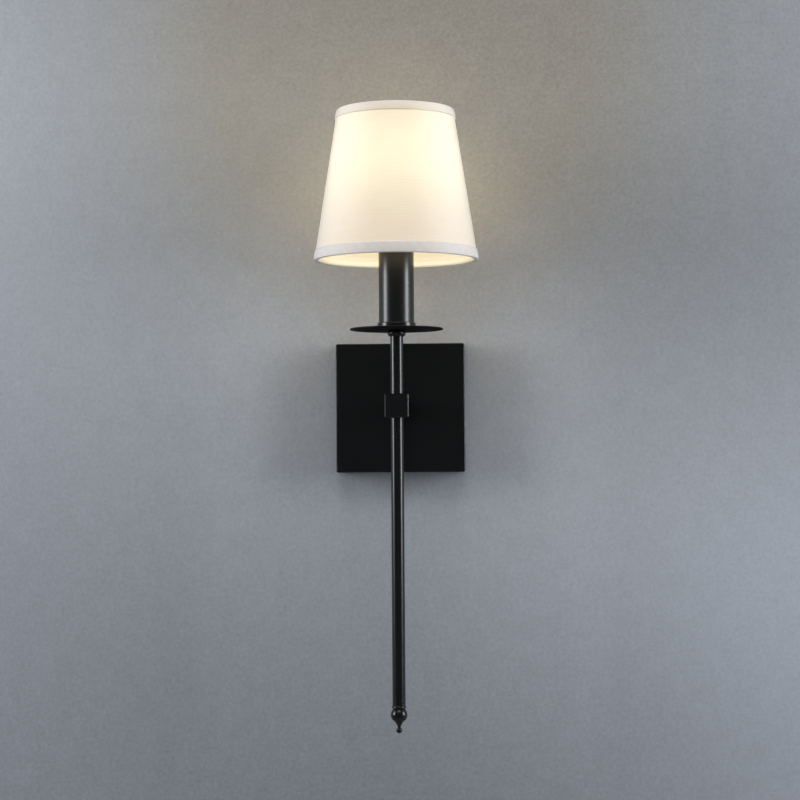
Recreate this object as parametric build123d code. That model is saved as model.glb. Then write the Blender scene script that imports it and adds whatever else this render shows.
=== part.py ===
from build123d import *
import math
import os

# Wall lamp: a square wall plate, a short stub arm, an upright rod with a turned finial below,
# and above it a drip disc, a candle sleeve with its lampholder, and a tapered linen shade.
# Frame: origin at the plate's centre on the wall, wall plane y = 0, front towards -Y, +Z up.

# Gaps between pieces
SLIDE_FIT = 0.15
THREAD_FIT = 0.05
PASS_FIT = 0.25
RUN_FIT = 0.10
GLUE_LINE = 0.05

# Wall plate, a drawn sheet-steel box that is open to the wall
PLATE_SIDE = 123.0
PLATE_DEPTH = 24.0
PLATE_SHEET = 1.2
PLATE_CORNER_R = 2.0
PLATE_EDGE_R = 1.0
PLATE_INNER_R = 0.8

# Mounting bar, a bent strap that is screwed to the wall and carries the plate on two tabs
BAR_WIDTH = 24.0
BAR_SHEET = 1.5
BAR_BEND_R = 1.5
BAR_TAB = 18.0
BAR_HOLE_D = 13.0
SLOT_PITCH = 66.0
SLOT_LENGTH = 16.0
SLOT_WIDTH = 4.8

# Grub screws through the plate's sides into the tabs
GRUB_D = 4.0
GRUB_LENGTH = 6.0
GRUB_KEY = 2.0
GRUB_KEY_DEPTH = 2.0
GRUB_FROM_WALL = 12.0

# Earth screw on the bar, with the earth tag and lead that reach it
EARTH_D = 4.0
EARTH_X = 13.0
EARTH_HEAD_D = 8.0
EARTH_HEAD_H = 2.6
DRIVE_SLOT = 1.0
DRIVE_DEPTH = 1.2
TAG_SHEET = 0.8
TAG_RIM = 3.0
TAG_TONGUE = 8.0
TAG_TONGUE_WIDTH = 6.0
EARTH_BEND_R = 5.0

# Two-way terminal block on the bar
TERMINAL_LENGTH = 14.0
TERMINAL_WIDTH = 16.0
TERMINAL_HEIGHT = 10.0
TERMINAL_PITCH = 8.0
TERMINAL_BORE_D = 3.4
TERMINAL_CLEAR = 2.5
TERMINAL_BORE_RISE = 4.5
TERMINAL_GROOVE = 2.0
TERMINAL_GROOVE_DEPTH = 2.5
CLAMP_SCREW_D = 2.6
CLAMP_SCREW_SPACING = 7.0
CLAMP_SCREW_SINK = 0.5
CLAMP_SLOT = 0.5
FIXING_D = 3.0
FIXING_HEAD_D = 5.4
FIXING_HEAD_H = 2.0
FIXING_SEAT = 5.0

# Rods, the block that joins them, and the threaded tubes inside
ROD_OD = 12.0
ROD_WALL = 0.95
NIPPLE_WALL = 1.25
ROD_ENGAGE = 10.0
BLOCK_SIDE = 22.0
BLOCK_BEVEL = 0.8
BLOCK_ENGAGE = 5.5
UPPER_ROD = 53.0
LOWER_ROD = 264.3
WALL_GAP = 13.8
NUT_BAND = 2.0
NUT_HEIGHT = 4.0
NUT_STAND = 2.0
WASHER_BAND = 4.0
WASHER_SHEET = 1.0

# Finial, turned in one piece with its spigot
SPIGOT = 8.0
BEAD_HEIGHT = 2.8
BEAD_SWELL = 0.5
BALL_D = 15.3
BALL_TOP_R = 5.3
SHOULDER_DROP = 4.3
NECK_DROP = 11.5
NECK_R = 1.25
NECK_HOLLOW = 0.9
TIP_D = 5.6

# Collar, drip disc and seat cup under the candle sleeve
COLLAR_D = 16.8
COLLAR_HEIGHT = 6.0
COLLAR_END_R = 6.6
DISC_D = 86.0
DISC_SHEET = 1.3
DISC_EDGE_R = 0.5
SEAT_FLOOR = 1.3
SEAT_WALL = 1.3
SEAT_RIM = 4.1
SEAT_ROUND = 1.1

# Candle sleeve and the lampholder inside it, for a medium screw cap
SLEEVE_LENGTH = 100.0
SLEEVE_WALL = 1.45
CAP_D = 26.2
SHELL_FIT = 0.2
SHELL_SHEET = 0.35
SHELL_LENGTH = 23.0
SHELL_LIP = 1.2
HOLDER_WALL = 0.8
HOLDER_FLANGE = 3.0
FLANGE_LEDGE = 2.75
SKIRT_STEP = 3.7
SKIRT_WALL = 1.75
SKIRT_HEIGHT = 12.5
CONTACT_DEPTH = 20.5
CONTACT_RISE = 4.0
CONTACT_GAP = 0.2
CONTACT_SHEET = 0.5
CONTACT_LENGTH = 7.0
CONTACT_WIDTH = 3.5
HOLDER_FLOOR = 4.0
SOCKET_CAP_HEIGHT = 24.0
SOCKET_CAP_WALL = 1.2
SOCKET_CAP_FLOOR = 7.0
SOCKET_CAP_FOOT_R = 1.8
POST_SPREAD = 16.0
POST_D = 5.0
POST_SHANK_D = 2.6
POST_HEAD_H = 2.0

# Leads inside the tubes
LEAD_D = 2.0
LEAD_SPREAD = 4.0
LEAD_BEND_R = 6.0
LEAD_PLATE_R = 4.5
LEAD_EASY_R = 10.0

# Shade: card and linen on two wire rings, edged with linen tape
SHADE_BOTTOM_D = 152.4
SHADE_TOP_D = 108.8
SHADE_HEIGHT = 139.3
SHADE_DROP = 41.4
TAPE = 0.5
LINEN = 0.6
LINER = 0.4
TOP_HEM = 8.4
BOTTOM_HEM = 9.9
HEM_SWELL = 0.4
HEM_ROUND = 1.0
WIRE_D = 2.4

# Fitter ring, spider arms and the ring nut that clamps them on the lampholder
FITTER_PLAY = 0.5
FITTER_BAND = 5.5
FITTER_SHEET = 1.5
ARM_COUNT = 3
ARM_FOOT = 8.0
ARM_BEND_R = 7.0
RING_BAND = 3.6
RING_HEIGHT = 8.0
RING_LIP = 1.2
RING_LIP_HEIGHT = 2.0
RING_GRIPS = 16
RING_GRIP_D = 2.4

# Bulb: a pear-shaped frosted envelope on a medium screw cap
BULB_D = 60.0
BULB_LENGTH = 106.0
BULB_SKIN = 0.9
BULB_NECK_R = 14.5
BULB_NECK_Z = 32.0
BULB_ROOT_R = 12.4
BULB_ROOT_Z = 13.5
BULB_FLARE_SAG = 0.3
BULB_CAP_TOP = 27.0
BULB_CAP_FOOT = 4.0
BULB_CAP_SHEET = 0.3
BULB_CAP_LIP = 2.0
BUTTON_D = 9.0
BUTTON_H = 1.0
INSULATOR_TOP_D = 24.0
STEM_D = 5.0
STEM_TOP_Z = 88.0
STEM_FOOT_H = 3.0
STEM_FOOT_SINK = 6.0
FILAMENT_COUNT = 4
FILAMENT_D = 1.8
FILAMENT_LENGTH = 30.0

# Places that follow from those sizes
reach = SHADE_BOTTOM_D / 2 + WALL_GAP
rod_bore = ROD_OD - 2 * ROD_WALL
nipple_d = rod_bore - 2 * THREAD_FIT
nipple_bore = nipple_d - 2 * NIPPLE_WALL
half_block = BLOCK_SIDE / 2
rod_top = half_block + UPPER_ROD
rod_foot = -half_block - LOWER_ROD
disc_z = rod_top + COLLAR_HEIGHT
seat_z = disc_z + DISC_SHEET
sleeve_z = seat_z + SEAT_FLOOR
sleeve_top = sleeve_z + SLEEVE_LENGTH
fitter_z = sleeve_top + HOLDER_FLANGE
skirt_top = fitter_z + SKIRT_HEIGHT
contact_z = sleeve_top - CONTACT_DEPTH
floor_top = contact_z - CONTACT_RISE
floor_z = floor_top - HOLDER_FLOOR
socket_cap_z = floor_z - SOCKET_CAP_HEIGHT
shell_d = CAP_D + 2 * (SHELL_FIT + SHELL_SHEET)
holder_bore = shell_d + 2 * SLIDE_FIT
holder_d = holder_bore + 2 * HOLDER_WALL
sleeve_bore = holder_d + 2 * PASS_FIT
sleeve_d = sleeve_bore + 2 * SLEEVE_WALL
skirt_bore = holder_bore + 2 * SKIRT_STEP
skirt_d = skirt_bore + 2 * SKIRT_WALL
flange_d = skirt_d + 2 * FLANGE_LEDGE
fitter_bore = skirt_d + 2 * FITTER_PLAY
fitter_d = fitter_bore + 2 * FITTER_BAND
shade_z = fitter_z - SHADE_DROP
shade_top = shade_z + SHADE_HEIGHT
wire_r = WIRE_D / 2
lead_r = LEAD_D / 2
nut_width = nipple_d + 2 * NUT_BAND
washer_d = nipple_d + 2 * WASHER_BAND

on_axis = Pos(0, -reach, 0)


def out_from_wall(shape):
    """Turn a shape that was drawn upright so that its height becomes its distance from the wall."""
    return Rot(90, 0, 0) * shape


def tube(outer_d, inner_d, low, high):
    """A straight tube about Z between two heights."""
    return Pos(0, 0, low) * extrude(Circle(outer_d / 2) - Circle(inner_d / 2), high - low)


def rod(diameter, low, high):
    """A straight round bar about Z between two heights."""
    return Pos(0, 0, low) * extrude(Circle(diameter / 2), high - low)


def turned(*lines):
    """A body of revolution about Z from a closed outline of (radius, height) lines and arcs."""
    return revolve(Plane.XZ * make_face(Curve() + list(lines)), Axis.Z)


def hex_nut(low, high):
    """A hexagon nut for the threaded tube."""
    flats = RegularPolygon(nut_width / 2, 6, major_radius=False)
    return Pos(0, 0, low) * extrude(flats - Circle(nipple_d / 2 + THREAD_FIT), high - low)


def slotted_screw(shank_d, shank_length, head_d, head_h):
    """A cheese-head screw whose head stands on z = 0 and whose shank goes down."""
    screw = rod(head_d, 0, head_h) + rod(shank_d, -shank_length, 0)
    return screw - Pos(0, 0, head_h) * Box(head_d * 2, DRIVE_SLOT, DRIVE_DEPTH * 2)


def wire_along(points, radii, diameter):
    """A round wire along straight runs joined by arcs."""
    path = FilletPolyline(*points, radius=radii)
    return sweep((path ^ 0) * Circle(diameter / 2), path=path)


def wall_plate():
    """The drawn box: rounded corners, an open back, a hole for the arm and two for the grub screws."""
    outer = extrude(RectangleRounded(PLATE_SIDE, PLATE_SIDE, PLATE_CORNER_R), PLATE_DEPTH)
    outer = fillet(outer.faces().sort_by(Axis.Z)[-1].edges(), PLATE_EDGE_R)
    inside = PLATE_SIDE - 2 * PLATE_SHEET
    box = outer - extrude(RectangleRounded(inside, inside, PLATE_INNER_R), PLATE_DEPTH - PLATE_SHEET)
    box -= rod(nipple_d + 2 * PASS_FIT, 0, PLATE_DEPTH)
    grub_hole = Cylinder(GRUB_D / 2 + PASS_FIT, PLATE_SIDE * 2, rotation=(0, 90, 0))
    return out_from_wall(box - Pos(0, 0, GRUB_FROM_WALL) * grub_hole)


bar_length = PLATE_SIDE - 2 * PLATE_SHEET - 2 * SLIDE_FIT
terminal_x = BAR_HOLE_D / 2 + TERMINAL_CLEAR + TERMINAL_LENGTH / 2


def mounting_bar():
    """A strap bent up at both ends, with two wall slots, a cable hole and tapped holes."""
    side_x = (bar_length - BAR_SHEET) / 2
    base_y = BAR_SHEET / 2
    path = FilletPolyline(
        (-side_x, BAR_TAB), (-side_x, base_y), (side_x, base_y), (side_x, BAR_TAB),
        radius=BAR_BEND_R + BAR_SHEET / 2,
    )
    profile = trace(path, BAR_SHEET)
    strap = Rot(180, 0, 0) * extrude(profile, BAR_WIDTH / 2, both=True)
    cuts = [rod(BAR_HOLE_D, 0, BAR_SHEET)]
    cuts += [
        Pos(side * SLOT_PITCH / 2, 0, 0) * extrude(SlotOverall(SLOT_LENGTH, SLOT_WIDTH), BAR_SHEET)
        for side in (-1, 1)
    ]
    cuts.append(Pos(-EARTH_X, 0, 0) * rod(EARTH_D + 2 * THREAD_FIT, 0, BAR_SHEET))
    cuts.append(Pos(terminal_x, 0, 0) * rod(FIXING_D + 2 * THREAD_FIT, 0, BAR_SHEET))
    grub_hole = Cylinder(GRUB_D / 2 + THREAD_FIT, PLATE_SIDE * 2, rotation=(0, 90, 0))
    cuts.append(Pos(0, 0, GRUB_FROM_WALL) * grub_hole)
    for cut in cuts:
        strap -= out_from_wall(cut)
    return strap


def grub_screws():
    """Two headless screws, flush with the plate's sides, each with a hexagon socket."""
    key = extrude(RegularPolygon(GRUB_KEY / 2, 6, major_radius=False), GRUB_KEY_DEPTH)
    screw = rod(GRUB_D, -GRUB_LENGTH, 0) - Pos(0, 0, -GRUB_KEY_DEPTH) * key
    return [
        Pos(side * PLATE_SIDE / 2, -GRUB_FROM_WALL, 0) * Rot(0, side * 90, 0) * screw
        for side in (-1, 1)
    ]


# Terminal block, screws and earth parts on the bar
bore_depth = BAR_SHEET + TERMINAL_BORE_RISE


def terminal_block():
    """A moulded two-way block with through bores and wells for the clamp screws."""
    body = extrude(Rectangle(TERMINAL_WIDTH, TERMINAL_LENGTH), TERMINAL_HEIGHT)
    groove = extrude(Rectangle(TERMINAL_GROOVE, TERMINAL_LENGTH), TERMINAL_GROOVE_DEPTH)
    body -= Pos(0, 0, TERMINAL_HEIGHT - TERMINAL_GROOVE_DEPTH) * groove
    for side in (-1, 1):
        bore = Cylinder(TERMINAL_BORE_D / 2, TERMINAL_LENGTH, rotation=(90, 0, 0))
        body -= Pos(side * TERMINAL_PITCH / 2, 0, TERMINAL_BORE_RISE) * bore
        for along in (-1, 1):
            well = rod(CLAMP_SCREW_D + 2 * THREAD_FIT, TERMINAL_BORE_RISE, TERMINAL_HEIGHT)
            body -= Pos(side * TERMINAL_PITCH / 2, along * CLAMP_SCREW_SPACING / 2, 0) * well
    body -= rod(FIXING_D + 2 * THREAD_FIT, 0, TERMINAL_HEIGHT)
    body -= rod(FIXING_HEAD_D + 2 * PASS_FIT, FIXING_SEAT, TERMINAL_HEIGHT)
    return out_from_wall(Pos(terminal_x, 0, BAR_SHEET) * Rot(0, 0, 90) * body)


def clamp_screws():
    """Four slotted clamp screws, two on each way, that press on the conductors."""
    low = bore_depth + lead_r + SLIDE_FIT
    high = BAR_SHEET + TERMINAL_HEIGHT - CLAMP_SCREW_SINK
    screw = rod(CLAMP_SCREW_D, low, high)
    screw -= Pos(0, 0, high) * Box(CLAMP_SCREW_D * 2, CLAMP_SLOT, DRIVE_DEPTH)
    spots = [(x, z) for x in (-1, 1) for z in (-1, 1)]
    return [
        out_from_wall(
            Pos(terminal_x + x * CLAMP_SCREW_SPACING / 2, z * TERMINAL_PITCH / 2, 0) * screw
        )
        for x, z in spots
    ]


def terminal_fixing():
    """The screw that holds the terminal block on the bar, ending flush with the bar's back."""
    seat = BAR_SHEET + FIXING_SEAT
    screw = slotted_screw(FIXING_D, seat, FIXING_HEAD_D, FIXING_HEAD_H)
    return out_from_wall(Pos(terminal_x, 0, seat) * screw)


# The plate's inner face, then the earth tag, the washer and the nut behind it
tag_back = PLATE_DEPTH - PLATE_SHEET - TAG_SHEET
washer_back = tag_back - WASHER_SHEET
nut_back = washer_back - NUT_HEIGHT
earth_seat = BAR_SHEET + LEAD_D + SLIDE_FIT


def earth_screw():
    """A cheese-head screw in the bar that clamps the earth lead under its head."""
    screw = slotted_screw(EARTH_D, earth_seat, EARTH_HEAD_D, EARTH_HEAD_H)
    return out_from_wall(Pos(-EARTH_X, 0, earth_seat) * screw)


def earth_tag():
    """A ring tag round the arm's threaded tube, with a tongue for the earth lead."""
    ring_r = nipple_d / 2 + TAG_RIM
    tongue = Pos(-(ring_r + TAG_TONGUE) / 2, 0) * Rectangle(ring_r + TAG_TONGUE, TAG_TONGUE_WIDTH)
    flat = Circle(ring_r) + tongue - Circle(nipple_d / 2 + PASS_FIT)
    return out_from_wall(Pos(0, 0, tag_back) * extrude(flat, TAG_SHEET))


def earth_lead():
    """The earth lead, from the tag's tongue round and back under the earth screw's head."""
    tag_y = -(tag_back - lead_r - GLUE_LINE)
    bar_y = -(BAR_SHEET + lead_r + GLUE_LINE)
    start_x = -(washer_d / 2 + SLIDE_FIT + lead_r)
    far_x = -(nipple_d / 2 + TAG_RIM + TAG_TONGUE + EARTH_BEND_R + SLIDE_FIT)
    end_x = -(EARTH_X + EARTH_D / 2 + SLIDE_FIT)
    points = [(start_x, tag_y, 0), (far_x, tag_y, 0), (far_x, bar_y, 0), (end_x, bar_y, 0)]
    return wire_along(points, [EARTH_BEND_R, EARTH_BEND_R], LEAD_D)


def block_nipples():
    """Three like threaded tubes that screw the stub arm and both rods into the block."""
    nipple = tube(nipple_d, nipple_bore, half_block - BLOCK_ENGAGE, half_block + ROD_ENGAGE)
    turns = [Rot(0, 0, 0), Rot(180, 0, 0), Rot(-90, 0, 0)]
    return [on_axis * turn * nipple for turn in turns]


def cross_block():
    """The bevelled cube with a bore right through it and a third bore from the back."""
    cube = chamfer(Box(BLOCK_SIDE, BLOCK_SIDE, BLOCK_SIDE).edges(), BLOCK_BEVEL)
    cube -= rod(rod_bore, -half_block, half_block)
    cube -= Rot(-90, 0, 0) * rod(rod_bore, 0, half_block)
    return on_axis * cube


def finial():
    """A turned drop: spigot, bead, a ball that tapers into a thin neck, and a small tip ball."""
    ball_r = BALL_D / 2
    tip_r = TIP_D / 2
    groove_z = rod_foot - BEAD_HEIGHT
    ball_z = groove_z - math.sqrt(ball_r**2 - BALL_TOP_R**2)
    shoulder = (math.sqrt(ball_r**2 - SHOULDER_DROP**2), ball_z - SHOULDER_DROP)
    neck = (NECK_R, ball_z - NECK_DROP)
    waist = ((shoulder[0] + neck[0]) / 2 - NECK_HOLLOW, (shoulder[1] + neck[1]) / 2)
    tip_z = neck[1] - math.sqrt(tip_r**2 - NECK_R**2)
    bead_mid = (ROD_OD / 2 + BEAD_SWELL, rod_foot - BEAD_HEIGHT / 2)
    spigot_top = rod_foot + SPIGOT
    shape = turned(
        Polyline((0, tip_z - tip_r), (0, spigot_top), (nipple_d / 2, spigot_top),
                 (nipple_d / 2, rod_foot), (ROD_OD / 2, rod_foot)),
        ThreePointArc((ROD_OD / 2, rod_foot), bead_mid, (BALL_TOP_R, groove_z)),
        ThreePointArc((BALL_TOP_R, groove_z), (ball_r, ball_z), shoulder),
        ThreePointArc(shoulder, waist, neck),
        ThreePointArc(neck, (tip_r, tip_z), (0, tip_z - tip_r)),
    )
    return on_axis * shape


def collar():
    """The turned bead between the upper rod and the drip disc."""
    bore_r = nipple_d / 2 + THREAD_FIT
    low = (COLLAR_END_R, rod_top)
    high = (COLLAR_END_R, disc_z)
    swell = (COLLAR_D / 2, (rod_top + disc_z) / 2)
    bore = Polyline(high, (bore_r, disc_z), (bore_r, rod_top), low)
    shape = turned(bore, ThreePointArc(low, swell, high))
    return on_axis * shape


def drip_disc():
    """The flat pressed disc, with its rim rounded over."""
    disc = tube(DISC_D, nipple_d + 2 * THREAD_FIT, disc_z, seat_z)
    rim = disc.edges().filter_by(GeomType.CIRCLE).sort_by(SortBy.RADIUS)[-2:]
    return on_axis * fillet(rim, DISC_EDGE_R)


def seat_cup():
    """The shallow cup on the disc in which the candle sleeve stands, with its rim rounded over."""
    inner_d = sleeve_d + 2 * SLIDE_FIT
    top = sleeve_z + SEAT_RIM
    cup = rod(inner_d + 2 * SEAT_WALL, seat_z, top) - rod(inner_d, sleeve_z, top)
    cup -= rod(nipple_d + 2 * THREAD_FIT, seat_z, sleeve_z)
    rim = cup.edges().group_by(Axis.Z)[-1].sort_by(SortBy.RADIUS)[-1:]
    return on_axis * fillet(rim, SEAT_ROUND)


def socket_cap():
    """The lampholder's lower cup, screwed on the centre tube, that covers the terminals."""
    cup = rod(holder_d, socket_cap_z, floor_z)
    cup -= rod(holder_d - 2 * SOCKET_CAP_WALL, socket_cap_z + SOCKET_CAP_FLOOR, floor_z)
    cup -= rod(nipple_d + 2 * THREAD_FIT, socket_cap_z, floor_z)
    foot = cup.edges().filter_by(GeomType.CIRCLE).group_by(Axis.Z)[0].sort_by(SortBy.RADIUS)[-1]
    return on_axis * fillet(foot, SOCKET_CAP_FOOT_R)


def socket_body():
    """The insulating barrel: a floor, a flange on the sleeve's end and a threaded skirt above."""
    body = rod(holder_d, floor_z, sleeve_top) + rod(flange_d, sleeve_top, fitter_z)
    body += rod(skirt_d, fitter_z, skirt_top)
    body -= rod(holder_bore, floor_top, skirt_top)
    body -= rod(skirt_bore, fitter_z, skirt_top)
    post_hole = rod(POST_SHANK_D + 2 * THREAD_FIT, floor_z, floor_top)
    for side in (-1, 0, 1):
        body -= Pos(side * POST_SPREAD / 2, 0, 0) * post_hole
    return on_axis * body


def screw_shell():
    """The drawn brass shell that takes the bulb's cap."""
    inside_d = shell_d - 2 * SHELL_SHEET
    shell = tube(shell_d, inside_d, floor_top, floor_top + SHELL_LENGTH)
    return on_axis * (shell + tube(shell_d, inside_d - 2 * SHELL_LIP, floor_top, floor_top + SHELL_SHEET))


def centre_contact():
    """A folded brass spring riveted to the lampholder's floor under the bulb's button."""
    high = CONTACT_RISE - CONTACT_GAP
    half = CONTACT_LENGTH / 2
    fold = make_face(Polyline(
        (half, 0), (-half, 0), (-half, high), (half, high), (half, high - CONTACT_SHEET),
        (CONTACT_SHEET - half, high - CONTACT_SHEET), (CONTACT_SHEET - half, CONTACT_SHEET),
        (half, CONTACT_SHEET), close=True,
    ))
    spring = extrude(Plane.XZ * fold, CONTACT_WIDTH / 2, both=True)
    rivet = rod(POST_SHANK_D, floor_z, floor_top)
    return on_axis * (Pos(0, 0, floor_top) * spring + rivet)


def terminal_posts():
    """Two brass screws through the lampholder's floor, with heads below for the leads."""
    post = rod(POST_SHANK_D, floor_z, floor_top) + rod(POST_D, floor_z - POST_HEAD_H, floor_z)
    return [on_axis * Pos(side * POST_SPREAD / 2, 0, 0) * post for side in (-1, 1)]


def lead(side):
    """A lead from the terminal block through the arm, the block and the upright to a post."""
    spread = side * LEAD_SPREAD / 2
    mouth_x = terminal_x - TERMINAL_LENGTH / 2
    way_z = side * TERMINAL_PITCH / 2
    post_x = side * POST_SPREAD / 2
    post_foot = floor_z - POST_HEAD_H - GLUE_LINE
    fan_z = socket_cap_z + SOCKET_CAP_FLOOR
    points = [
        (terminal_x - SLIDE_FIT, -bore_depth, way_z),
        (mouth_x - LEAD_D / 2, -bore_depth, way_z),
        (0, -bore_depth, spread),
        (0, -PLATE_DEPTH, spread),
        (spread, -(reach - half_block - ROD_ENGAGE), 0),
        (spread, -reach, 0),
        (spread, -reach, fan_z),
        (post_x, -reach, post_foot - LEAD_BEND_R),
        (post_x, -reach, post_foot),
    ]
    radii = [
        LEAD_EASY_R, LEAD_PLATE_R, LEAD_EASY_R, LEAD_EASY_R, LEAD_BEND_R, LEAD_EASY_R, LEAD_EASY_R,
    ]
    return wire_along(points, radii, LEAD_D)


# Shade layers, measured inwards from the tape's outer face
taper = (SHADE_BOTTOM_D - SHADE_TOP_D) / 2 / SHADE_HEIGHT
slant = math.cos(math.atan(taper))
linen_in = TAPE + GLUE_LINE
liner_in = linen_in + LINEN + GLUE_LINE
wire_in = liner_in + LINER + (wire_r + SLIDE_FIT) / slant


def shade_r(height):
    """The shade's outer radius at a height."""
    return SHADE_BOTTOM_D / 2 - taper * (height - shade_z)


def cone_layer(inset, thickness, low, high):
    """A conical layer of one thickness, set in from the shade's outer face."""
    outline = Polyline(
        (shade_r(low) - inset, low), (shade_r(high) - inset, high),
        (shade_r(high) - inset - thickness, high), (shade_r(low) - inset - thickness, low),
        close=True,
    )
    return on_axis * turned(outline)


def edge_tape(edge, wire_z, far):
    """Linen tape glued outside one edge, rounded over it and folded round the wire ring."""
    inward = math.copysign(1, far - edge)
    channel = wire_r + SLIDE_FIT
    wire_x = shade_r(wire_z) - wire_in
    bulge_z = (edge + far) / 2
    brow = (shade_r(edge + inward * HEM_ROUND), edge + inward * HEM_ROUND)
    lip = (shade_r(edge) - HEM_ROUND, edge)
    corner_in = HEM_ROUND * (1 - math.sqrt(0.5))
    corner = (shade_r(edge) - corner_in, edge + inward * corner_in)
    fold = Vector(wire_x, wire_z)
    half_way = Vector(-math.sqrt(0.5), -inward * math.sqrt(0.5))
    level = Vector(-1, 0)
    inner_edge = edge + inward * TAPE
    hem = (shade_r(far), far)
    under = (wire_x, edge)
    over = (wire_x, inner_edge)
    outer_end = fold + level * (channel + TAPE)
    inner_end = fold + level * channel
    outline = [
        ThreePointArc(hem, (shade_r(bulge_z) + HEM_SWELL, bulge_z), brow),
        ThreePointArc(brow, corner, lip),
        Line(lip, under),
        ThreePointArc(under, fold + half_way * (channel + TAPE), outer_end),
        Line(outer_end, inner_end),
        ThreePointArc(inner_end, fold + half_way * channel, over),
        Polyline(over, (shade_r(inner_edge) - TAPE, inner_edge), (shade_r(far) - TAPE, far), hem),
    ]
    return on_axis * turned(*outline)


low_edge = shade_z + TAPE
high_edge = shade_top - TAPE
low_wire_z = low_edge + wire_r + SLIDE_FIT
high_wire_z = high_edge - wire_r - SLIDE_FIT


def wire_ring(height):
    """A closed wire hoop inside one edge of the shade."""
    centre_r = shade_r(height) - wire_in
    return on_axis * Pos(0, 0, height) * Torus(centre_r, wire_r)


def spider_arms():
    """Three bent wires from the fitter ring's edge out and up to the top hoop."""
    start = Vector(fitter_d / 2 + GLUE_LINE, 0, fitter_z + FITTER_SHEET / 2)
    knee = Vector(fitter_d / 2 + ARM_FOOT, 0, start.Z)
    hoop = Vector(shade_r(high_wire_z) - wire_in, 0, high_wire_z)
    end = hoop - (hoop - knee).normalized() * (wire_r + GLUE_LINE)
    arm = wire_along([start, knee, end], [ARM_BEND_R], WIRE_D)
    return [on_axis * Rot(0, 0, 90 + turn * 360 / ARM_COUNT) * arm for turn in range(ARM_COUNT)]


def shade_ring():
    """The threaded ring nut: a lipped foot and finger grips round the outside."""
    low = fitter_z + FITTER_SHEET + RUN_FIT
    ring_d = skirt_d + 2 * RING_BAND
    bore_d = skirt_d + 2 * RUN_FIT
    nut = rod(ring_d, low, low + RING_HEIGHT)
    for turn in range(RING_GRIPS):
        grip = Pos(ring_d / 2, 0, 0) * rod(RING_GRIP_D, low, low + RING_HEIGHT)
        nut -= Rot(0, 0, turn * 360 / RING_GRIPS) * grip
    nut += rod(ring_d + 2 * RING_LIP, low, low + RING_LIP_HEIGHT)
    return on_axis * (nut - rod(bore_d, low, low + RING_HEIGHT))


def bulb_outline(skin):
    """Half of the envelope's section, set in by a skin from the outside, closed on the axis."""
    globe_r = BULB_D / 2 - skin
    globe_z = BULB_LENGTH - BULB_D / 2
    neck = (BULB_NECK_R - skin, BULB_NECK_Z)
    reach_down = math.hypot(neck[0], neck[1] - globe_z)
    lean = math.atan2(neck[1] - globe_z, neck[0]) + math.acos(globe_r / reach_down)
    shoulder = (globe_r * math.cos(lean), globe_z + globe_r * math.sin(lean))
    root = BULB_ROOT_R - skin
    root_mid = ((root + neck[0]) / 2 - BULB_FLARE_SAG, (BULB_CAP_TOP + BULB_NECK_Z) / 2)
    crown = (globe_r / math.sqrt(2), globe_z + globe_r / math.sqrt(2))
    return make_face(Curve() + [
        Polyline((0, globe_z + globe_r), (0, BULB_ROOT_Z), (root, BULB_ROOT_Z), (root, BULB_CAP_TOP)),
        ThreePointArc((root, BULB_CAP_TOP), root_mid, neck),
        Line(neck, shoulder),
        ThreePointArc(shoulder, crown, (0, globe_z + globe_r)),
    ])


in_holder = on_axis * Pos(0, 0, contact_z)


def bulb_envelope():
    """The blown glass envelope, open at its root."""
    return in_holder * revolve(Plane.XZ * (bulb_outline(0) - bulb_outline(BULB_SKIN)), Axis.Z)


def bulb_cap():
    """The drawn cap, turned in at its foot to hold the insulator."""
    inside_d = 2 * (BULB_ROOT_R + GLUE_LINE)
    cup = tube(CAP_D, inside_d, BULB_CAP_FOOT, BULB_CAP_TOP)
    lip = tube(CAP_D, inside_d - 2 * BULB_CAP_LIP, BULB_CAP_FOOT, BULB_CAP_FOOT + BULB_CAP_SHEET)
    return in_holder * (cup + lip)


def bulb_insulator():
    """The dark glass cone between the cap and the button."""
    top_r = INSULATOR_TOP_D / 2
    cone = turned(Polyline(
        (0, BUTTON_H), (BUTTON_D / 2, BUTTON_H), (top_r, BULB_CAP_FOOT), (0, BULB_CAP_FOOT), close=True,
    ))
    return in_holder * cone


def bulb_button():
    """The soldered centre button at the foot of the cap."""
    return in_holder * rod(BUTTON_D, 0, BUTTON_H)


def bulb_stem():
    """The glass stem: a disc sealed in the envelope's root and a rod that carries the filaments."""
    foot_z = BULB_CAP_TOP - STEM_FOOT_SINK
    foot = rod(2 * (BULB_ROOT_R - BULB_SKIN - GLUE_LINE), foot_z, foot_z + STEM_FOOT_H)
    return in_holder * (foot + rod(STEM_D, foot_z, STEM_TOP_Z))


def filaments():
    """Four upright filaments held round the stem."""
    stick = rod(FILAMENT_D, STEM_TOP_Z - FILAMENT_LENGTH, STEM_TOP_Z)
    stick = Pos((STEM_D + FILAMENT_D) / 2 + SLIDE_FIT, 0, 0) * stick
    return [in_holder * Rot(0, 0, turn * 360 / FILAMENT_COUNT) * stick for turn in range(FILAMENT_COUNT)]


arm_back = PLATE_DEPTH
arm_front = reach - half_block
nipple_back = nut_back - NUT_STAND
centre_low = rod_top - ROD_ENGAGE
centre_high = socket_cap_z + SOCKET_CAP_FLOOR

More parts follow.
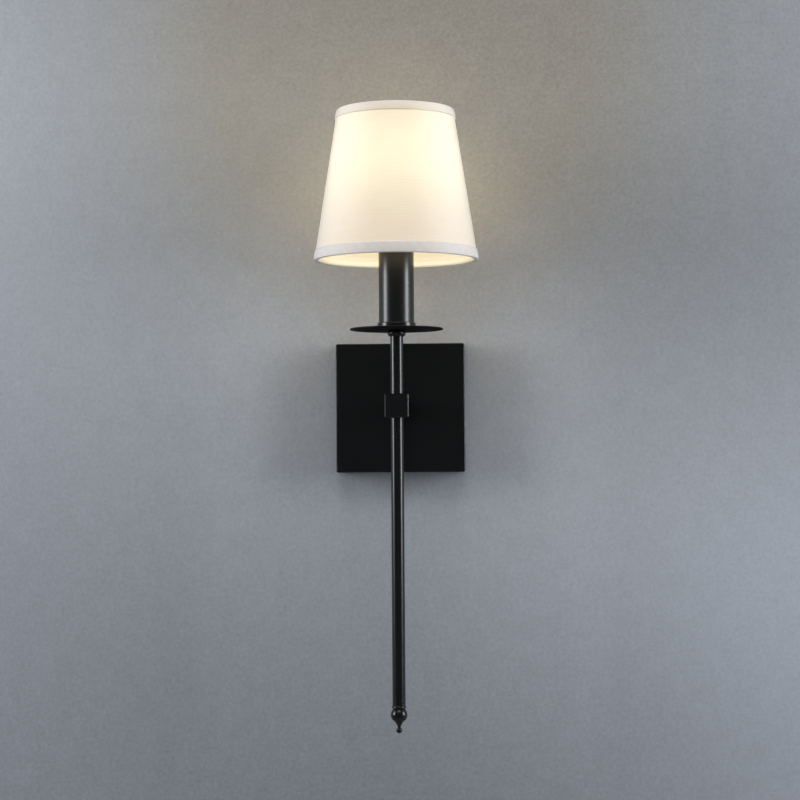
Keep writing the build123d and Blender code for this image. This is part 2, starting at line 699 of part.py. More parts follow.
nodes = {
    "mounting_bar": mounting_bar(),
    "earth_screw": earth_screw(),
    "earth_tag": earth_tag(),
    "earth_lead": earth_lead(),
    "terminal_block": terminal_block(),
    "terminal_screws": clamp_screws(),
    "terminal_fixing": terminal_fixing(),
    "wall_plate": wall_plate(),
    "plate_screws": grub_screws(),
    "stub_arm": out_from_wall(tube(ROD_OD, rod_bore, arm_back, arm_front)),
    "stub_nipple": out_from_wall(tube(nipple_d, nipple_bore, nipple_back, arm_back + ROD_ENGAGE)),
    "stub_washer": out_from_wall(tube(washer_d, nipple_d + 2 * THREAD_FIT, washer_back, tag_back)),
    "stub_nut": out_from_wall(hex_nut(nut_back, washer_back)),
    "cross_block": cross_block(),
    "block_nipples": block_nipples(),
    "lower_rod": on_axis * tube(ROD_OD, rod_bore, rod_foot, -half_block),
    "finial": finial(),
    "upper_rod": on_axis * tube(ROD_OD, rod_bore, half_block, rod_top),
    "collar": collar(),
    "drip_disc": drip_disc(),
    "seat_cup": seat_cup(),
    "seat_nut": on_axis * hex_nut(sleeve_z, sleeve_z + NUT_HEIGHT),
    "centre_tube": on_axis * tube(nipple_d, nipple_bore, centre_low, centre_high),
    "candle_sleeve": on_axis * tube(sleeve_d, sleeve_bore, sleeve_z, sleeve_top),
    "socket_cap": socket_cap(),
    "socket_body": socket_body(),
    "screw_shell": screw_shell(),
    "centre_contact": centre_contact(),
    "terminal_posts": terminal_posts(),
    "lead_live": lead(1),
    "lead_neutral": lead(-1),
    "fitter_ring": on_axis * tube(fitter_d, fitter_bore, fitter_z, fitter_z + FITTER_SHEET),
    "spider_arms": spider_arms(),
    "top_hoop": wire_ring(high_wire_z),
    "bottom_hoop": wire_ring(low_wire_z),
    "shade_liner": cone_layer(liner_in, LINER, low_edge, high_edge),
    "shade_linen": cone_layer(linen_in, LINEN, low_edge, high_edge),
    "top_tape": edge_tape(shade_top, high_wire_z, shade_top - TOP_HEM),
    "bottom_tape": edge_tape(shade_z, low_wire_z, shade_z + BOTTOM_HEM),
    "shade_ring": shade_ring(),
    "bulb_envelope": bulb_envelope(),
    "bulb_cap": bulb_cap(),
    "bulb_insulator": bulb_insulator(),
    "bulb_button": bulb_button(),
    "bulb_stem": bulb_stem(),
    "filaments": filaments(),
}

os.makedirs("parts", exist_ok=True)
for name, shape in nodes.items():
    solid = Compound(shape) if isinstance(shape, list) else shape
    export_step(solid, f"parts/{name}.step")
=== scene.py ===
import math

import bmesh
import bpy
from mathutils import Matrix, Vector, noise


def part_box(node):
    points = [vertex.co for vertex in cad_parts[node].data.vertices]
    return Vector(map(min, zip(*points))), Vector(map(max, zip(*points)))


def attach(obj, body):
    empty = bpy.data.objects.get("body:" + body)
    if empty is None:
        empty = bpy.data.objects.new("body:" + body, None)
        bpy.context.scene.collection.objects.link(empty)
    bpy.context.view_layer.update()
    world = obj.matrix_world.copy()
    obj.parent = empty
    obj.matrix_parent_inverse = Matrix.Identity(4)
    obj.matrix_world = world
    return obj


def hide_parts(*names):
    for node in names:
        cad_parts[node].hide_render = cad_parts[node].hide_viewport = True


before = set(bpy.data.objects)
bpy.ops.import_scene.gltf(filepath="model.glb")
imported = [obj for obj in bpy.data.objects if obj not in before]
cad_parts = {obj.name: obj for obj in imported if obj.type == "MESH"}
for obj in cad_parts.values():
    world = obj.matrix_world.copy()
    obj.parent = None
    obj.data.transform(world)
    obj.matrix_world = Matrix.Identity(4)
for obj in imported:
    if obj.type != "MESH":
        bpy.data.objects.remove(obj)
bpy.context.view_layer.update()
scene = bpy.context.scene
scene.view_settings.view_transform = "Standard"

# The camera stands in front of the lamp, a little to the right of its rod and just below the
# wall plate's centre, and looks slightly up and to the left. Metres and degrees.
CAMERA_PLACE = (0.085, -1.951, -0.0565)
CAMERA_LENS_MM = 91.0
CAMERA_SENSOR_MM = 36.0
CAMERA_YAW = 2.532
CAMERA_PITCH = 1.90
CAMERA_ROLL = -0.38
camera = bpy.data.objects.new("camera", bpy.data.cameras.new("camera"))
camera.data.lens = CAMERA_LENS_MM
camera.data.sensor_width = CAMERA_SENSOR_MM
camera.matrix_world = (
    Matrix.Translation(CAMERA_PLACE)
    @ Matrix.Rotation(math.radians(CAMERA_YAW), 4, "Z")
    @ Matrix.Rotation(math.radians(90 + CAMERA_PITCH), 4, "X")
    @ Matrix.Rotation(math.radians(CAMERA_ROLL), 4, "Z")
)
scene.collection.objects.link(camera)
scene.camera = camera


# The wall that the lamp hangs on and a pale floor, which are stage. Both show from their lit side
# only, and the wall is open behind the plate, so that views from behind show the lamp's back. The
# wall's colour carries painted light: a lighter slanting band and lighter sides stand in for the
# side lamps' light, and a painted warm pool of lamplight lies above the lit shade.
class Field:
    """A value that varies over a surface. Arithmetic on it adds Math nodes to its material."""

    def __init__(self, tree, socket):
        self.tree = tree
        self.socket = socket

    def node(self, kind, settings=(), inputs=(), output=0):
        """Adds a node: its settings first, then the values or fields of its sockets."""
        made = self.tree.nodes.new("ShaderNode" + kind)
        for name, value in dict(settings).items():
            setattr(made, name, value)
        for name, value in dict(inputs).items():
            if isinstance(value, Field):
                self.tree.links.new(value.socket, made.inputs[name])
            else:
                made.inputs[name].default_value = value
        return Field(self.tree, made.outputs[output] if made.outputs else None)

    def maths(self, operation, *others):
        """A Math node of this value and of others after it."""
        return self.node("Math", {"operation": operation}, enumerate((self, *others)))

    def vectors(self, operation, *others, output="Vector"):
        """A Vector Math node of this place or direction and of others after it."""
        return self.node("VectorMath", {"operation": operation}, enumerate((self, *others)), output)

    def part(self, axis):
        """One coordinate of a place: X, Y or Z."""
        return self.node("SeparateXYZ", inputs={"Vector": self}, output=axis)

    def __add__(self, other):
        return self.maths("ADD", other)

    def __sub__(self, other):
        return self.maths("SUBTRACT", other)

    def __rsub__(self, other):
        return self.node("Math", {"operation": "SUBTRACT"}, {0: other, 1: self})

    def __mul__(self, other):
        return self.maths("MULTIPLY", other)

    def __truediv__(self, other):
        return self.maths("DIVIDE", other)

    def __pow__(self, other):
        return self.maths("POWER", other)

    __radd__ = __add__
    __rmul__ = __mul__


def new_finish(name):
    """An empty material, and the field of its object's own coordinates in metres."""
    finish = bpy.data.materials.new(name)
    finish.use_nodes = True
    finish.node_tree.nodes.clear()
    return finish, Field(finish.node_tree, None).node("TexCoord", output="Object")


def speckle(place, size, detail=2.0):
    """Soft noise from 0 to 1 whose blots are about this size in metres."""
    return place.node("TexNoise", inputs={"Vector": place, "Scale": 1 / size, "Detail": detail})


def mixed(share, *colours, blend="MIX"):
    """A colour that goes from the first to the second as a share goes from 0 to 1.

    With the blend MULTIPLY it goes to the product of both.
    """
    ends = [colour if isinstance(colour, Field) else (*colour, 1) for colour in colours]
    settings = {"data_type": "RGBA", "blend_type": blend}
    return share.node("Mix", settings, {0: share, 6: ends[0], 7: ends[1]}, 2)


def one_sided(place, colour):
    """Ends a matt stage paint that is clear from behind."""
    paint = place.node("BsdfPrincipled", inputs={"Base Color": colour, "Roughness": 0.85})
    clear = place.node("BsdfTransparent")
    back = place.node("NewGeometry", output="Backfacing")
    both = place.node("MixShader", inputs={0: back, 1: paint, 2: clear})
    place.node("OutputMaterial", inputs={"Surface": both})


def new_piece(name, points, faces, finish):
    """A mesh object of these points and faces, in the lamp's frame."""
    mesh = bpy.data.meshes.new(name)
    mesh.from_pydata(points, [], faces)
    mesh.materials.append(finish)
    piece = bpy.data.objects.new(name, mesh)
    scene.collection.objects.link(piece)
    return piece


STAGE_HALF = 4.0
STAGE_GAP = 0.0005
PLATE_COVER = 0.004
WALL_SHADED_AND_LIT_GREYS = (0.28, 0.297, 0.328), (0.668, 0.729, 0.824)
BAND_SHARE = 0.7
BAND_HALF = 0.267
BAND_SLANT = 0.42
SIDE_REACH = 0.668
WALL_BLOTS = (0.5, 0.02), (1.0, 0.004), (1.0, 0.0018)
WALL_MOTTLE = 0.33
PAINTED_WALL_GLOW = (1.02, 0.885, 0.69)
GLOW_REACH = 0.208
GLOW_RISE = 0.077
FLOOR_DROP = 1.5
FLOOR_GREYS = (0.60, 0.60, 0.60), (0.64, 0.64, 0.63)
plate_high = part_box("wall_plate")[1]
cover_low, cover_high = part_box("shade_linen")
wall_y = plate_high.y + STAGE_GAP
open_half = plate_high.x - PLATE_COVER
corners = [(-1, -1), (1, -1), (1, 1), (-1, 1)]
wall_points = [(x * STAGE_HALF, wall_y, z * STAGE_HALF) for x, z in corners]
wall_points += [(x * open_half, wall_y, z * open_half) for x, z in corners]
wall_faces = [(side, (side + 1) % 4, (side + 1) % 4 + 4, side + 4) for side in range(4)]
wall_painted_light, place = new_finish("wall_painted_light")
# Painted light on the wall: the band and the sides are painted lighter for the side lamps' light, and a
# warm painted pool of lamplight lies above the shade.
across = place.part("X")
off_band = (place.part("Z") + BAND_SLANT * across) / BAND_HALF
band = BAND_SHARE * (off_band * off_band + 1) ** -1.0
beside = across * across
mottle = sum(weight * (speckle(place, size) - 0.5) for weight, size in WALL_BLOTS)
light = band + beside / (beside + SIDE_REACH**2) + WALL_MOTTLE * mottle
glow_place = (cover_low + cover_high) / 2
glow_place.z = cover_high.z + GLOW_RISE
glow = (place.vectors("DISTANCE", glow_place, output="Value") / GLOW_REACH) ** -2.0
one_sided(place, mixed(glow, mixed(light, *WALL_SHADED_AND_LIT_GREYS), PAINTED_WALL_GLOW, blend="MULTIPLY"))
wall = new_piece("stage_wall", wall_points, wall_faces, wall_painted_light)
floor_points = [(x * STAGE_HALF, y * STAGE_HALF, -FLOOR_DROP) for x, y in corners]
floor_paint, place = new_finish("floor_paint")
one_sided(place, mixed(speckle(place, size=0.4), *FLOOR_GREYS))
floor = new_piece("stage_floor", floor_points, [(0, 1, 2, 3)], floor_paint)

# Two tall soft boxes with grids far out to both sides light the lamp, and a small one hangs above
# and in front of it. A box behind the wall reaches only the hollow of the plate.
SIDE_BOX_TURN = 75.0
SIDE_BOX_AWAY = 3.0
LEFT_BOX_RISE = 0.88
RIGHT_BOX_RISE = 0.76
SIDE_BOX_SIZE = (1.0, 2.0)
SIDE_BOX_SPREAD = 100.0
SIDE_BOX_WATTS = 21.5
SIDE_BOX_TINT = (0.94, 0.965, 1.0)
KEY_BOX_PLACE = Vector((0, -1.3, 1.7))
KEY_BOX_SIZE = (1.4, 0.9)
KEY_BOX_WATTS = 10.0
BACK_BOX_PLACE = Vector((0, 1.2, 0))
BACK_BOX_SIZE = (2.4, 2.4)
BACK_BOX_WATTS = 20.0
ROOM_GREY = (0.085, 0.089, 0.095, 1.0)
rod_low, rod_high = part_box("lower_rod")
lamp_axis = Vector(((rod_low.x + rod_high.x) / 2, (rod_low.y + rod_high.y) / 2, 0))


def soft_box(name, stand, aim, size, watts, spread=180.0, tint=(1, 1, 1)):
    """A rectangular lamp that faces a point. A grid in front of it narrows its spread, in degrees."""
    lamp = bpy.data.objects.new(name, bpy.data.lights.new(name, "AREA"))
    lamp.data.shape = "RECTANGLE"
    lamp.data.size, lamp.data.size_y = size
    lamp.data.spread = math.radians(spread)
    lamp.data.energy = watts
    lamp.data.color = tint
    lamp.location = stand
    lamp.rotation_euler = (aim - stand).to_track_quat("-Z", "Y").to_euler()
    lamp.visible_camera = False
    scene.collection.objects.link(lamp)


turn = math.radians(SIDE_BOX_TURN)
for name, side, rise in (("left_box", -1, LEFT_BOX_RISE), ("right_box", 1, RIGHT_BOX_RISE)):
    aim = lamp_axis + Vector((0, 0, rise))
    stand = aim + SIDE_BOX_AWAY * Vector((side * math.sin(turn), -math.cos(turn), 0))
    soft_box(name, stand, aim, SIDE_BOX_SIZE, SIDE_BOX_WATTS, SIDE_BOX_SPREAD, SIDE_BOX_TINT)
soft_box("key_box", KEY_BOX_PLACE, lamp_axis, KEY_BOX_SIZE, KEY_BOX_WATTS)
soft_box("back_box", BACK_BOX_PLACE, lamp_axis, BACK_BOX_SIZE, BACK_BOX_WATTS)
room = bpy.data.worlds.new("room")
room.use_nodes = True
room.node_tree.nodes["Background"].inputs["Color"].default_value = ROOM_GREY
scene.world = room


# The mounting bar is a zinc-plated steel strap, punched and bent, that is screwed to the wall.
# The washer, the nuts and the small screws on it are of the same plated steel.
def surfaced(place, inputs):
    """Ends a material with one Principled shader."""
    shader = place.node("BsdfPrincipled", inputs=inputs)
    place.node("OutputMaterial", inputs={"Surface": shader})


def ranged(share, low, high):
    """A number that goes from low to high as a share goes from 0 to 1."""
    return low + (high - low) * share


def embossed(height, strength, depth):
    """The normal of a surface that a field raises by up to a depth in metres."""
    return height.node("Bump", inputs={"Height": height, "Strength": strength, "Distance": depth})


def dress(finish, *names):
    """Gives CAD nodes a finish."""
    for name in names:
        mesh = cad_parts[name].data
        mesh.materials.clear()
        mesh.materials.append(finish)


ZINC_GREYS = (0.50, 0.51, 0.52), (0.68, 0.68, 0.66)
zinc_plate, place = new_finish("zinc_plate")
spangle = speckle(place, size=0.0016, detail=3.0)
rub = speckle(place, size=0.012)
surfaced(place, {
    "Base Color": mixed(spangle, *ZINC_GREYS),
    "Metallic": 1.0,
    "Roughness": ranged(rub, 0.26, 0.46),
    "Normal": embossed(spangle, strength=0.15, depth=0.0001),
})
dress(zinc_plate, "mounting_bar", "earth_screw", "terminal_fixing")
dress(zinc_plate, "stub_washer", "stub_nut", "seat_nut")

# The earth tag, the clamp screws, the screw shell and the lampholder's other contacts are plain
# brass, stamped or turned, and a little dulled by handling.
BRASS_TONES = (0.62, 0.43, 0.17), (0.80, 0.60, 0.28)
brass, place = new_finish("brass")
tarnish = speckle(place, size=0.004, detail=4.0)
surfaced(place, {
    "Base Color": mixed(tarnish, *BRASS_TONES),
    "Metallic": 1.0,
    "Roughness": ranged(tarnish, 0.22, 0.44),
})
dress(brass, "earth_tag", "terminal_screws", "screw_shell", "centre_contact", "terminal_posts")

# Insulated leads and the moulded nylon terminal block. The leads are drawn plastic over copper,
# with a slight waxy sheen.
GREEN_TONES = (0.05, 0.26, 0.06), (0.09, 0.36, 0.09)
BLACK_TONES = (0.015, 0.015, 0.016), (0.03, 0.03, 0.03)
WHITE_TONES = (0.70, 0.70, 0.66), (0.80, 0.80, 0.77)
NYLON_TONES = (0.72, 0.71, 0.65), (0.83, 0.82, 0.77)
LEAD_ROUGHNESS = 0.36
LEAD_GRAIN = 0.006
GLOSS_DRIFT = 0.12


def moulded(name, tones, roughness, grain):
    """A moulded or drawn plastic with a faint mottle in its colour and its gloss."""
    finish, place = new_finish(name)
    mottle = speckle(place, grain, detail=3.0)
    surfaced(place, {
        "Base Color": mixed(mottle, *tones),
        "Roughness": ranged(mottle, roughness, roughness + GLOSS_DRIFT),
        "Normal": embossed(mottle, strength=0.1, depth=0.0001),
    })
    return finish


dress(moulded("green_insulation", GREEN_TONES, LEAD_ROUGHNESS, LEAD_GRAIN), "earth_lead")
dress(moulded("black_insulation", BLACK_TONES, LEAD_ROUGHNESS, LEAD_GRAIN), "lead_live")
dress(moulded("white_insulation", WHITE_TONES, LEAD_ROUGHNESS, LEAD_GRAIN), "lead_neutral")
dress(moulded("white_nylon", NYLON_TONES, roughness=0.42, grain=0.003), "terminal_block")

# Wall plate, arm, block, rods, finial, collar, disc, cup and sleeve are steel and brass parts
# sprayed black. The spray leaves a fine orange peel. The sleeve came out a little softer than the
# rest, and the flat disc matt.
ENAMEL_BLACKS = (0.0045, 0.0048, 0.0050), (0.0075, 0.0078, 0.0078)
HAZE_ROUGHNESS = 0.06
DUST_ROUGHNESS = 0.04


def sprayed(name, roughness, gloss):
    """A black enamel of a roughness, with a fine peel and small changes of gloss."""
    finish, place = new_finish(name)
    peel = speckle(place, size=0.0011, detail=1.0)
    haze = speckle(place, size=0.03)
    dust = speckle(place, size=0.0004)
    surfaced(place, {
        "Base Color": mixed(haze, *ENAMEL_BLACKS),
        "Roughness": roughness + HAZE_ROUGHNESS * haze + DUST_ROUGHNESS * dust,
        "Specular IOR Level": gloss,
        "Normal": embossed(peel, strength=0.06, depth=0.0001),
    })
    return finish


satin_black = sprayed("satin_black", roughness=0.19, gloss=0.5)
dress(satin_black, "wall_plate", "stub_arm", "cross_block", "lower_rod", "finial")
dress(satin_black, "upper_rod", "collar", "seat_cup")
dress(sprayed("sleeve_black", roughness=0.25, gloss=0.6), "candle_sleeve")
dress(sprayed("matt_black", roughness=0.55, gloss=0.2), "drip_disc")

# The threaded tubes that hold arm, block and lampholder and the grub screws of the plate are
# blackened steel, cut from bar, oily and a little uneven.
STEEL_BLACKS = (0.015, 0.015, 0.016), (0.045, 0.043, 0.041)
black_steel, place = new_finish("black_steel")
scale = speckle(place, size=0.0025, detail=4.0)
surfaced(place, {
    "Base Color": mixed(scale, *STEEL_BLACKS),
    "Metallic": 0.6,
    "Roughness": ranged(scale, 0.34, 0.52),
})
dress(black_steel, "stub_nipple", "block_nipples", "plate_screws", "centre_tube")

# The lampholder's cap, barrel and ring nut are moulded in black phenolic, semi-gloss, with a
# faint brown mottle of wood flour.
PHENOLIC_TONES = (0.012, 0.011, 0.011), (0.032, 0.027, 0.024)
phenolic = moulded("black_phenolic", PHENOLIC_TONES, roughness=0.30, grain=0.0015)
dress(phenolic, "socket_cap", "socket_body", "shade_ring")

# The shade's fitter ring, spider arms and hoops are steel strip and wire, welded together and
# dipped in white enamel, which sags a little before it sets.
ENAMEL_WHITES = (0.70, 0.68, 0.63), (0.80, 0.78, 0.74)
white_enamel, place = new_finish("white_enamel")
sag = speckle(place, size=0.004, detail=3.0)
surfaced(place, {
    "Base Color": mixed(sag, *ENAMEL_WHITES),
    "Roughness": ranged(sag, 0.32, 0.42),
    "Normal": embossed(sag, strength=0.12, depth=0.0002),
})
dress(white_enamel, "fitter_ring", "spider_arms", "top_hoop", "bottom_hoop")

# The shade's card liner carries the linen. It is thin translucent card. Its inside carries a painted
# glow that stands in for the bulb's light on it, brightest where the bulb is nearest.
TAPE_THICK = 0.0005
GLUE_LINE = 0.00005
CARD_TONES = (0.74, 0.70, 0.62), (0.82, 0.79, 0.72)
INNER_PAINTED_GLOW = (0.47, 0.40, 0.26), (0.57, 0.48, 0.34)
bulb_low, bulb_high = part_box("bulb_envelope")
tape_low, tape_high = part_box("bottom_tape")
rim_low, rim_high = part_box("top_tape")
shade_z = tape_low.z
shade_top = rim_high.z
cover_r = (cover_high.x - cover_low.x) / 2 + TAPE_THICK + GLUE_LINE
rim_r = (rim_high.x - rim_low.x) / 2
taper = (cover_r - rim_r) / (rim_low.z - cover_low.z)
globe_r = (bulb_high.x - bulb_low.x) / 2
globe_z = bulb_high.z - globe_r


def shade_r(height):
    """The radius of the shade's edge tape, its outermost layer, at a height."""
    return cover_r - taper * (height - cover_low.z)


def nearness(place):
    """How directly the bulb lights the shade: 1 beside the globe, falling off above and below."""
    away = (place.part("Z") - globe_z) / shade_r(globe_z)
    return (away * away + 1) ** -1.5


shade_card, place = new_finish("shade_card")
fibre = speckle(place, size=0.0025, detail=4.0)
surfaced(place, {
    "Base Color": mixed(fibre, *CARD_TONES),
    "Roughness": 0.6,
    "Emission Color": mixed(nearness(place) * ranged(fibre, 0.9, 1.1), *INNER_PAINTED_GLOW),
    "Emission Strength": 1.0,
})
dress(shade_card, "shade_liner")

# The linen is cut flat as a curved strip, laminated on the card and lapped at the back. Its
# threads stay straight on the flat cut, so they lean round to the sides of the shade.
LINEN_THICK = 0.0006
LINEN_ROWS = 48
LINEN_WAVE = 0.00012
LINEN_TONES = (0.75, 0.75, 0.74), (0.87, 0.875, 0.88)
# The linen's painted glow stands in for the bulb's light shining through it.
LINEN_PAINTED_GLOW = (0.26, 0.13, 0.0), (0.62, 0.49, 0.20)
LAP = 0.009
LAP_RAMP = 0.004
WAVES_A_METRE = 40
CLOTH_STEPS = 264
BACK = math.pi / 2
THREAD = 0.0008
SLUBS_A_METRE = (30, 900, 1), (900, 30, 1)
SLUB_WEIGHTS = 0.7, 0.3
SLUB_CONTRAST = 2.6
SLUB_SHADE = 0.22
SLUB_TONE = 0.7
WEAVE_SHADE = 0.04
WEAVE_TONE = 0.3
WEAVE_HEIGHT = 0.5
UNLIT = (0, 0, 0)
bottom_r = shade_r(shade_z)
cone_sine = taper / math.hypot(1, taper)
cone_cosine = 1 / math.hypot(1, taper)


def eased(share):
    """A smooth step from 0 to 1."""
    share = min(1.0, max(0.0, share))
    return share * share * (3 - 2 * share)


def wound_cloth(name, section, thickness, finish, cut_place, over_lap=0.0, wave=0.0):
    """Cloth wound once round the shade, with its far end lapped over its near end at the back.

    The section lists (inset, height) of the cloth's middle line from edge to edge, with the side
    that shows on the left of the way. The cloth also climbs over a lap that lies under it.
    """
    lap_turn = LAP / bottom_r
    ramp_turn = LAP_RAMP / bottom_r
    first, last = BACK - lap_turn / 2, BACK + 2 * math.pi + lap_turn / 2
    path = [Vector((shade_r(height) - inset, height)) for inset, height in section]
    facing = []
    for near, far in zip([path[0], *path[:-1]], [*path[1:], path[-1]]):
        way = (far - near).normalized()
        facing.append(Vector((-way.y, way.x)))
    run = [0.0]
    for near, far in zip(path[:-1], path[1:]):
        run.append(run[-1] + (far - near).length)
    points, flat = [], []
    for step in range(CLOTH_STEPS + 1):
        angle = first + (last - first) * step / CLOTH_STEPS
        own = thickness * eased((angle - (last - lap_turn - ramp_turn)) / ramp_turn)
        beside = abs((angle - BACK + math.pi) % (2 * math.pi) - math.pi)
        under = over_lap * (1 - eased((beside - lap_turn / 2) / ramp_turn))
        for middle, out, along in zip(path, facing, run):
            spot = Vector((middle.x * math.cos(angle), middle.x * math.sin(angle), middle.y))
            shift = own + under * max(0.0, out.x) + wave * noise.noise(spot * WAVES_A_METRE)
            for side in (-0.5, 0.5):
                at = middle + out * (shift + side * thickness)
                points.append((
                    lamp_axis.x + at.x * math.cos(angle), lamp_axis.y + at.x * math.sin(angle), at.y,
                ))
                flat.append(cut_place(angle - BACK - math.pi, middle, along))
    rows = len(path)
    faces = []
    for step in range(CLOTH_STEPS):
        for row in range(rows - 1):
            near = 2 * (step * rows + row)
            far = near + 2 * rows
            faces.append((near, near + 2, far + 2, far))
            faces.append((near + 1, far + 1, far + 3, near + 3))
        for row in (0, rows - 1):
            near = 2 * (step * rows + row)
            far = near + 2 * rows
            faces.append((near, far, far + 1, near + 1) if row == 0 else (near, near + 1, far + 1, far))
    for row in range(rows - 1):
        near = 2 * row
        far = near + 2 * rows * CLOTH_STEPS
        faces.append((near, near + 1, near + 3, near + 2))
        faces.append((far, far + 2, far + 3, far + 1))
    piece = new_piece(name, points, faces, finish)
    cut = piece.data.uv_layers.new(name="cut")
    for loop in piece.data.loops:
        cut.data[loop.index].uv = flat[loop.vertex_index]
    shaped = bmesh.new()
    shaped.from_mesh(piece.data)
    bmesh.ops.recalc_face_normals(shaped, faces=shaped.faces)
    shaped.to_mesh(piece.data)
    shaped.free()
    piece.data.polygons.foreach_set("use_smooth", [True] * len(piece.data.polygons))
    return piece


def outwardness(place):
    """How squarely a surface faces away from the lamp's axis: 1 outward, 0 up or down, -1 inward."""
    normal = place.node("TexCoord", output="Normal")
    level = place.vectors("SUBTRACT", lamp_axis).vectors("MULTIPLY", (1, 1, 0))
    return level.vectors("NORMALIZE").vectors("DOT_PRODUCT", normal, output="Value")


def woven(name, tones, outer_painted_glow):
    """Plain-woven linen with slubs. Its emission is a painted glow for the bulb's light through the
    cloth, going from far off the bulb to beside it.
    """
    finish, place = new_finish(name)
    cut = place.node("UVMap", {"uv_map": "cut"})
    warp = (cut.part("X") * (math.pi / THREAD)).maths("SINE")
    weft = (cut.part("Y") * (math.pi / THREAD)).maths("SINE")
    cross = warp * weft
    over = warp.maths("ABSOLUTE") + cross
    under = weft.maths("ABSOLUTE") - cross
    weave = over.maths("MAXIMUM", under) * 0.5
    slubs = [speckle(cut.vectors("MULTIPLY", counts), size=1.0) for counts in SLUBS_A_METRE]
    uneven = sum(weight * (thick - 0.5) for weight, thick in zip(SLUB_WEIGHTS, slubs))
    slub = uneven * SLUB_CONTRAST + 0.5
    cloud = ranged(speckle(place, size=0.02), 0.97, 1.03)
    # Painted light: how brightly the bulb's light shows through the cloth, with a faint cloudiness,
    # dimmer on slubs and threads.
    lit = nearness(place) * cloud + SLUB_SHADE * (0.5 - slub) - WEAVE_SHADE * weave
    facing = outwardness(place)
    outer = mixed(facing, UNLIT, mixed(lit, *outer_painted_glow))
    inner = mixed(facing * -1, UNLIT, mixed(lit, *INNER_PAINTED_GLOW))
    surfaced(place, {
        "Base Color": mixed((1 - slub) * SLUB_TONE + weave * WEAVE_TONE, *tones),
        "Roughness": 0.9,
        "Specular IOR Level": 0.25,
        "Sheen Weight": 1.0,
        "Sheen Roughness": 0.45,
        "Emission Color": outer.vectors("ADD", inner),
        "Emission Strength": 1.0,
        "Normal": embossed(weave * WEAVE_HEIGHT + slub, strength=0.35, depth=0.0003),
    })
    return finish


def linen_cut(angle, middle, along):
    """A place on the flat curved strip, as it was cut before it was wound."""
    reach = (shade_r(middle.y) - TAPE_THICK - GLUE_LINE) / cone_sine
    return reach * math.sin(angle * cone_sine), reach * math.cos(angle * cone_sine)


linen_finish = woven("linen", LINEN_TONES, LINEN_PAINTED_GLOW)
linen_inset = TAPE_THICK + GLUE_LINE + LINEN_THICK / 2
linen_low, linen_high = shade_z + TAPE_THICK, shade_top - TAPE_THICK
linen_section = []
for row in range(LINEN_ROWS + 1):
    linen_section.append((linen_inset, linen_high + (linen_low - linen_high) * row / LINEN_ROWS))
linen = wound_cloth("linen_cover", linen_section, LINEN_THICK, linen_finish, linen_cut, wave=LINEN_WAVE)
low_reach = (shade_r(linen_low) - linen_inset) / cone_sine
high_reach = (shade_r(linen_high) - linen_inset) / cone_sine
half_turn = (math.pi + LAP / 2 / bottom_r) * cone_sine
linen_flat = (2 * low_reach * math.sin(half_turn), low_reach - high_reach * math.cos(half_turn))
linen_area = half_turn * (low_reach**2 - high_reach**2)
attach(linen, "shade")
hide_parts("shade_linen")

# Both edges are bound with linen tape cut on the bias. It is folded over the wire hoop and glued
# down outside and inside, so each rim has a soft round roll.
WIRE_R = 0.0012
WIRE_PLAY = 0.00015
CARD_THICK = 0.0004
INNER_FOLD = 0.0085
FOLD_RUN = 0.002
FOLD_LEAVE = 65.0
FOLD_STEPS = 8
HEM_SWELL = 0.0004
HEM_ROUND = 0.001
TAPE_WAVE = 0.00010
TAPE_TONES = (0.83, 0.83, 0.82), (0.93, 0.93, 0.93)
# The tape's painted glow stands in for the bulb's light shining through it.
TAPE_PAINTED_GLOW = (0.035, 0.005, 0.0), (0.37, 0.23, 0.0)
card_back = TAPE_THICK + 2 * GLUE_LINE + LINEN_THICK + CARD_THICK
wire_inset = card_back + (WIRE_R + WIRE_PLAY) / cone_cosine
wire_depth = TAPE_THICK + WIRE_PLAY + WIRE_R


def turned_edge(hem):
    """The tape's middle line as (inset, depth from the rim).

    It runs down outside with a slight swell, round the rim's corner and the hoop, and back inside.
    """
    half = TAPE_THICK / 2
    roll = WIRE_R + WIRE_PLAY + half
    corner = HEM_ROUND - half
    line = []
    for step in range(FOLD_STEPS):
        share = step / FOLD_STEPS
        swell = HEM_SWELL * 4 * share * (1 - share)
        line.append((half - swell, hem + (HEM_ROUND - hem) * share))
    for step in range(FOLD_STEPS + 1):
        swing = math.pi / 2 * step / FOLD_STEPS
        line.append((half + corner * (1 - math.cos(swing)), half + corner * (1 - math.sin(swing))))
    leave = math.radians(FOLD_LEAVE)
    for step in range(FOLD_STEPS + 1):
        swing = -math.pi / 2 + (leave + math.pi / 2) * step / FOLD_STEPS
        line.append((wire_inset + roll * math.cos(swing), wire_depth + roll * math.sin(swing)))
    inside = card_back + GLUE_LINE + half
    start = Vector(line[-1])
    landing = wire_depth + roll + FOLD_RUN
    for step in range(1, FOLD_STEPS + 1):
        share = step / FOLD_STEPS
        line.append((start.x + (inside - start.x) * eased(share), start.y + (landing - start.y) * share))
    for step in range(1, FOLD_STEPS + 1):
        line.append((inside, landing + (INNER_FOLD - landing) * step / FOLD_STEPS))
    return line


def tape_cut(angle, middle, along):
    """A place on the flat tape, whose threads run at 45 degrees to its length."""
    length = angle * bottom_r
    return (length + along) * math.sqrt(0.5), (length - along) * math.sqrt(0.5)


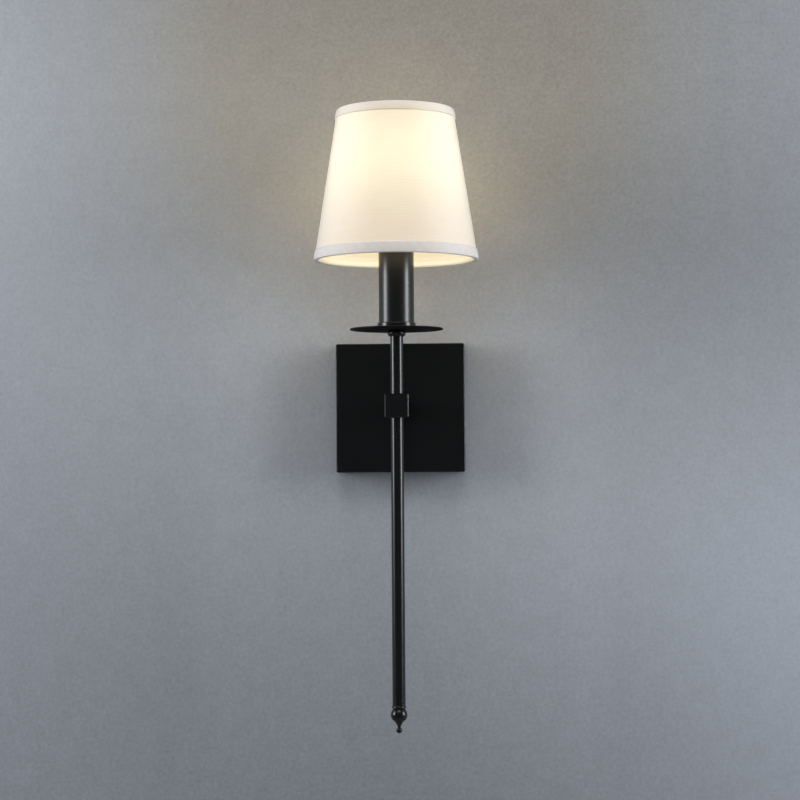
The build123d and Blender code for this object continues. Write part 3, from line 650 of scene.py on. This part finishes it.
tape_finish = woven("linen_tape", TAPE_TONES, TAPE_PAINTED_GLOW)
bottom_fold = [(inset, shade_z + depth) for inset, depth in turned_edge(tape_high.z - tape_low.z)]
top_fold = [(inset, shade_top - depth) for inset, depth in reversed(turned_edge(rim_high.z - rim_low.z))]
for name, fold, radius, node in (
    ("bottom_binding", bottom_fold, bottom_r, "bottom_tape"),
    ("top_binding", top_fold, rim_r, "top_tape"),
):
    binding = wound_cloth(
        name, fold, TAPE_THICK, tape_finish, tape_cut, over_lap=LINEN_THICK, wave=TAPE_WAVE,
    )
    length = 2 * math.pi * radius + LAP
    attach(binding, "shade")
    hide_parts(node)

# The bulb is a frosted glass pear on a nickelled cap. Lit, the frosted glass glows warm white all
# over, brightest round the filaments at the middle of the globe.
FROST_TONES = (0.86, 0.84, 0.80), (0.92, 0.91, 0.88)
BULB_GLOW = (0.75, 0.52, 0.26), (1.0, 0.88, 0.64)
GLOBE_FALL = 0.35
NICKEL_TONES = (0.62, 0.60, 0.55), (0.76, 0.74, 0.69)
DARK_GLASS_TONES = (0.010, 0.010, 0.013), (0.022, 0.022, 0.027)
CLEAR_GLASS_TONES = (0.70, 0.72, 0.72), (0.80, 0.82, 0.82)
PHOSPHOR_TONES = (0.85, 0.62, 0.24), (0.95, 0.76, 0.40)
PHOSPHOR_GLOW = (1.0, 0.70, 0.34), (1.0, 0.84, 0.52)
frosted, place = new_finish("frosted_glass")
middle = (place.part("Z") - globe_z) / globe_r
surfaced(place, {
    "Base Color": mixed(speckle(place, size=0.0006), *FROST_TONES),
    "Roughness": 0.45,
    "Emission Color": mixed((middle * middle * GLOBE_FALL + 1) ** -2.0, *BULB_GLOW),
    "Emission Strength": 1.2,
})
dress(frosted, "bulb_envelope")
nickel, place = new_finish("nickel")
handling = speckle(place, size=0.003, detail=3.0)
surfaced(place, {
    "Base Color": mixed(handling, *NICKEL_TONES),
    "Metallic": 1.0,
    "Roughness": ranged(handling, 0.18, 0.33),
})
dress(nickel, "bulb_cap", "bulb_button")
dress(moulded("dark_glass", DARK_GLASS_TONES, roughness=0.12, grain=0.002), "bulb_insulator")
dress(moulded("clear_glass", CLEAR_GLASS_TONES, roughness=0.06, grain=0.004), "bulb_stem")
phosphor, place = new_finish("phosphor")
grain = speckle(place, size=0.0008, detail=3.0)
surfaced(place, {
    "Base Color": mixed(grain, *PHOSPHOR_TONES),
    "Roughness": 0.7,
    "Emission Color": mixed(grain, *PHOSPHOR_GLOW),
    "Emission Strength": 4.0,
})
dress(phosphor, "filaments")
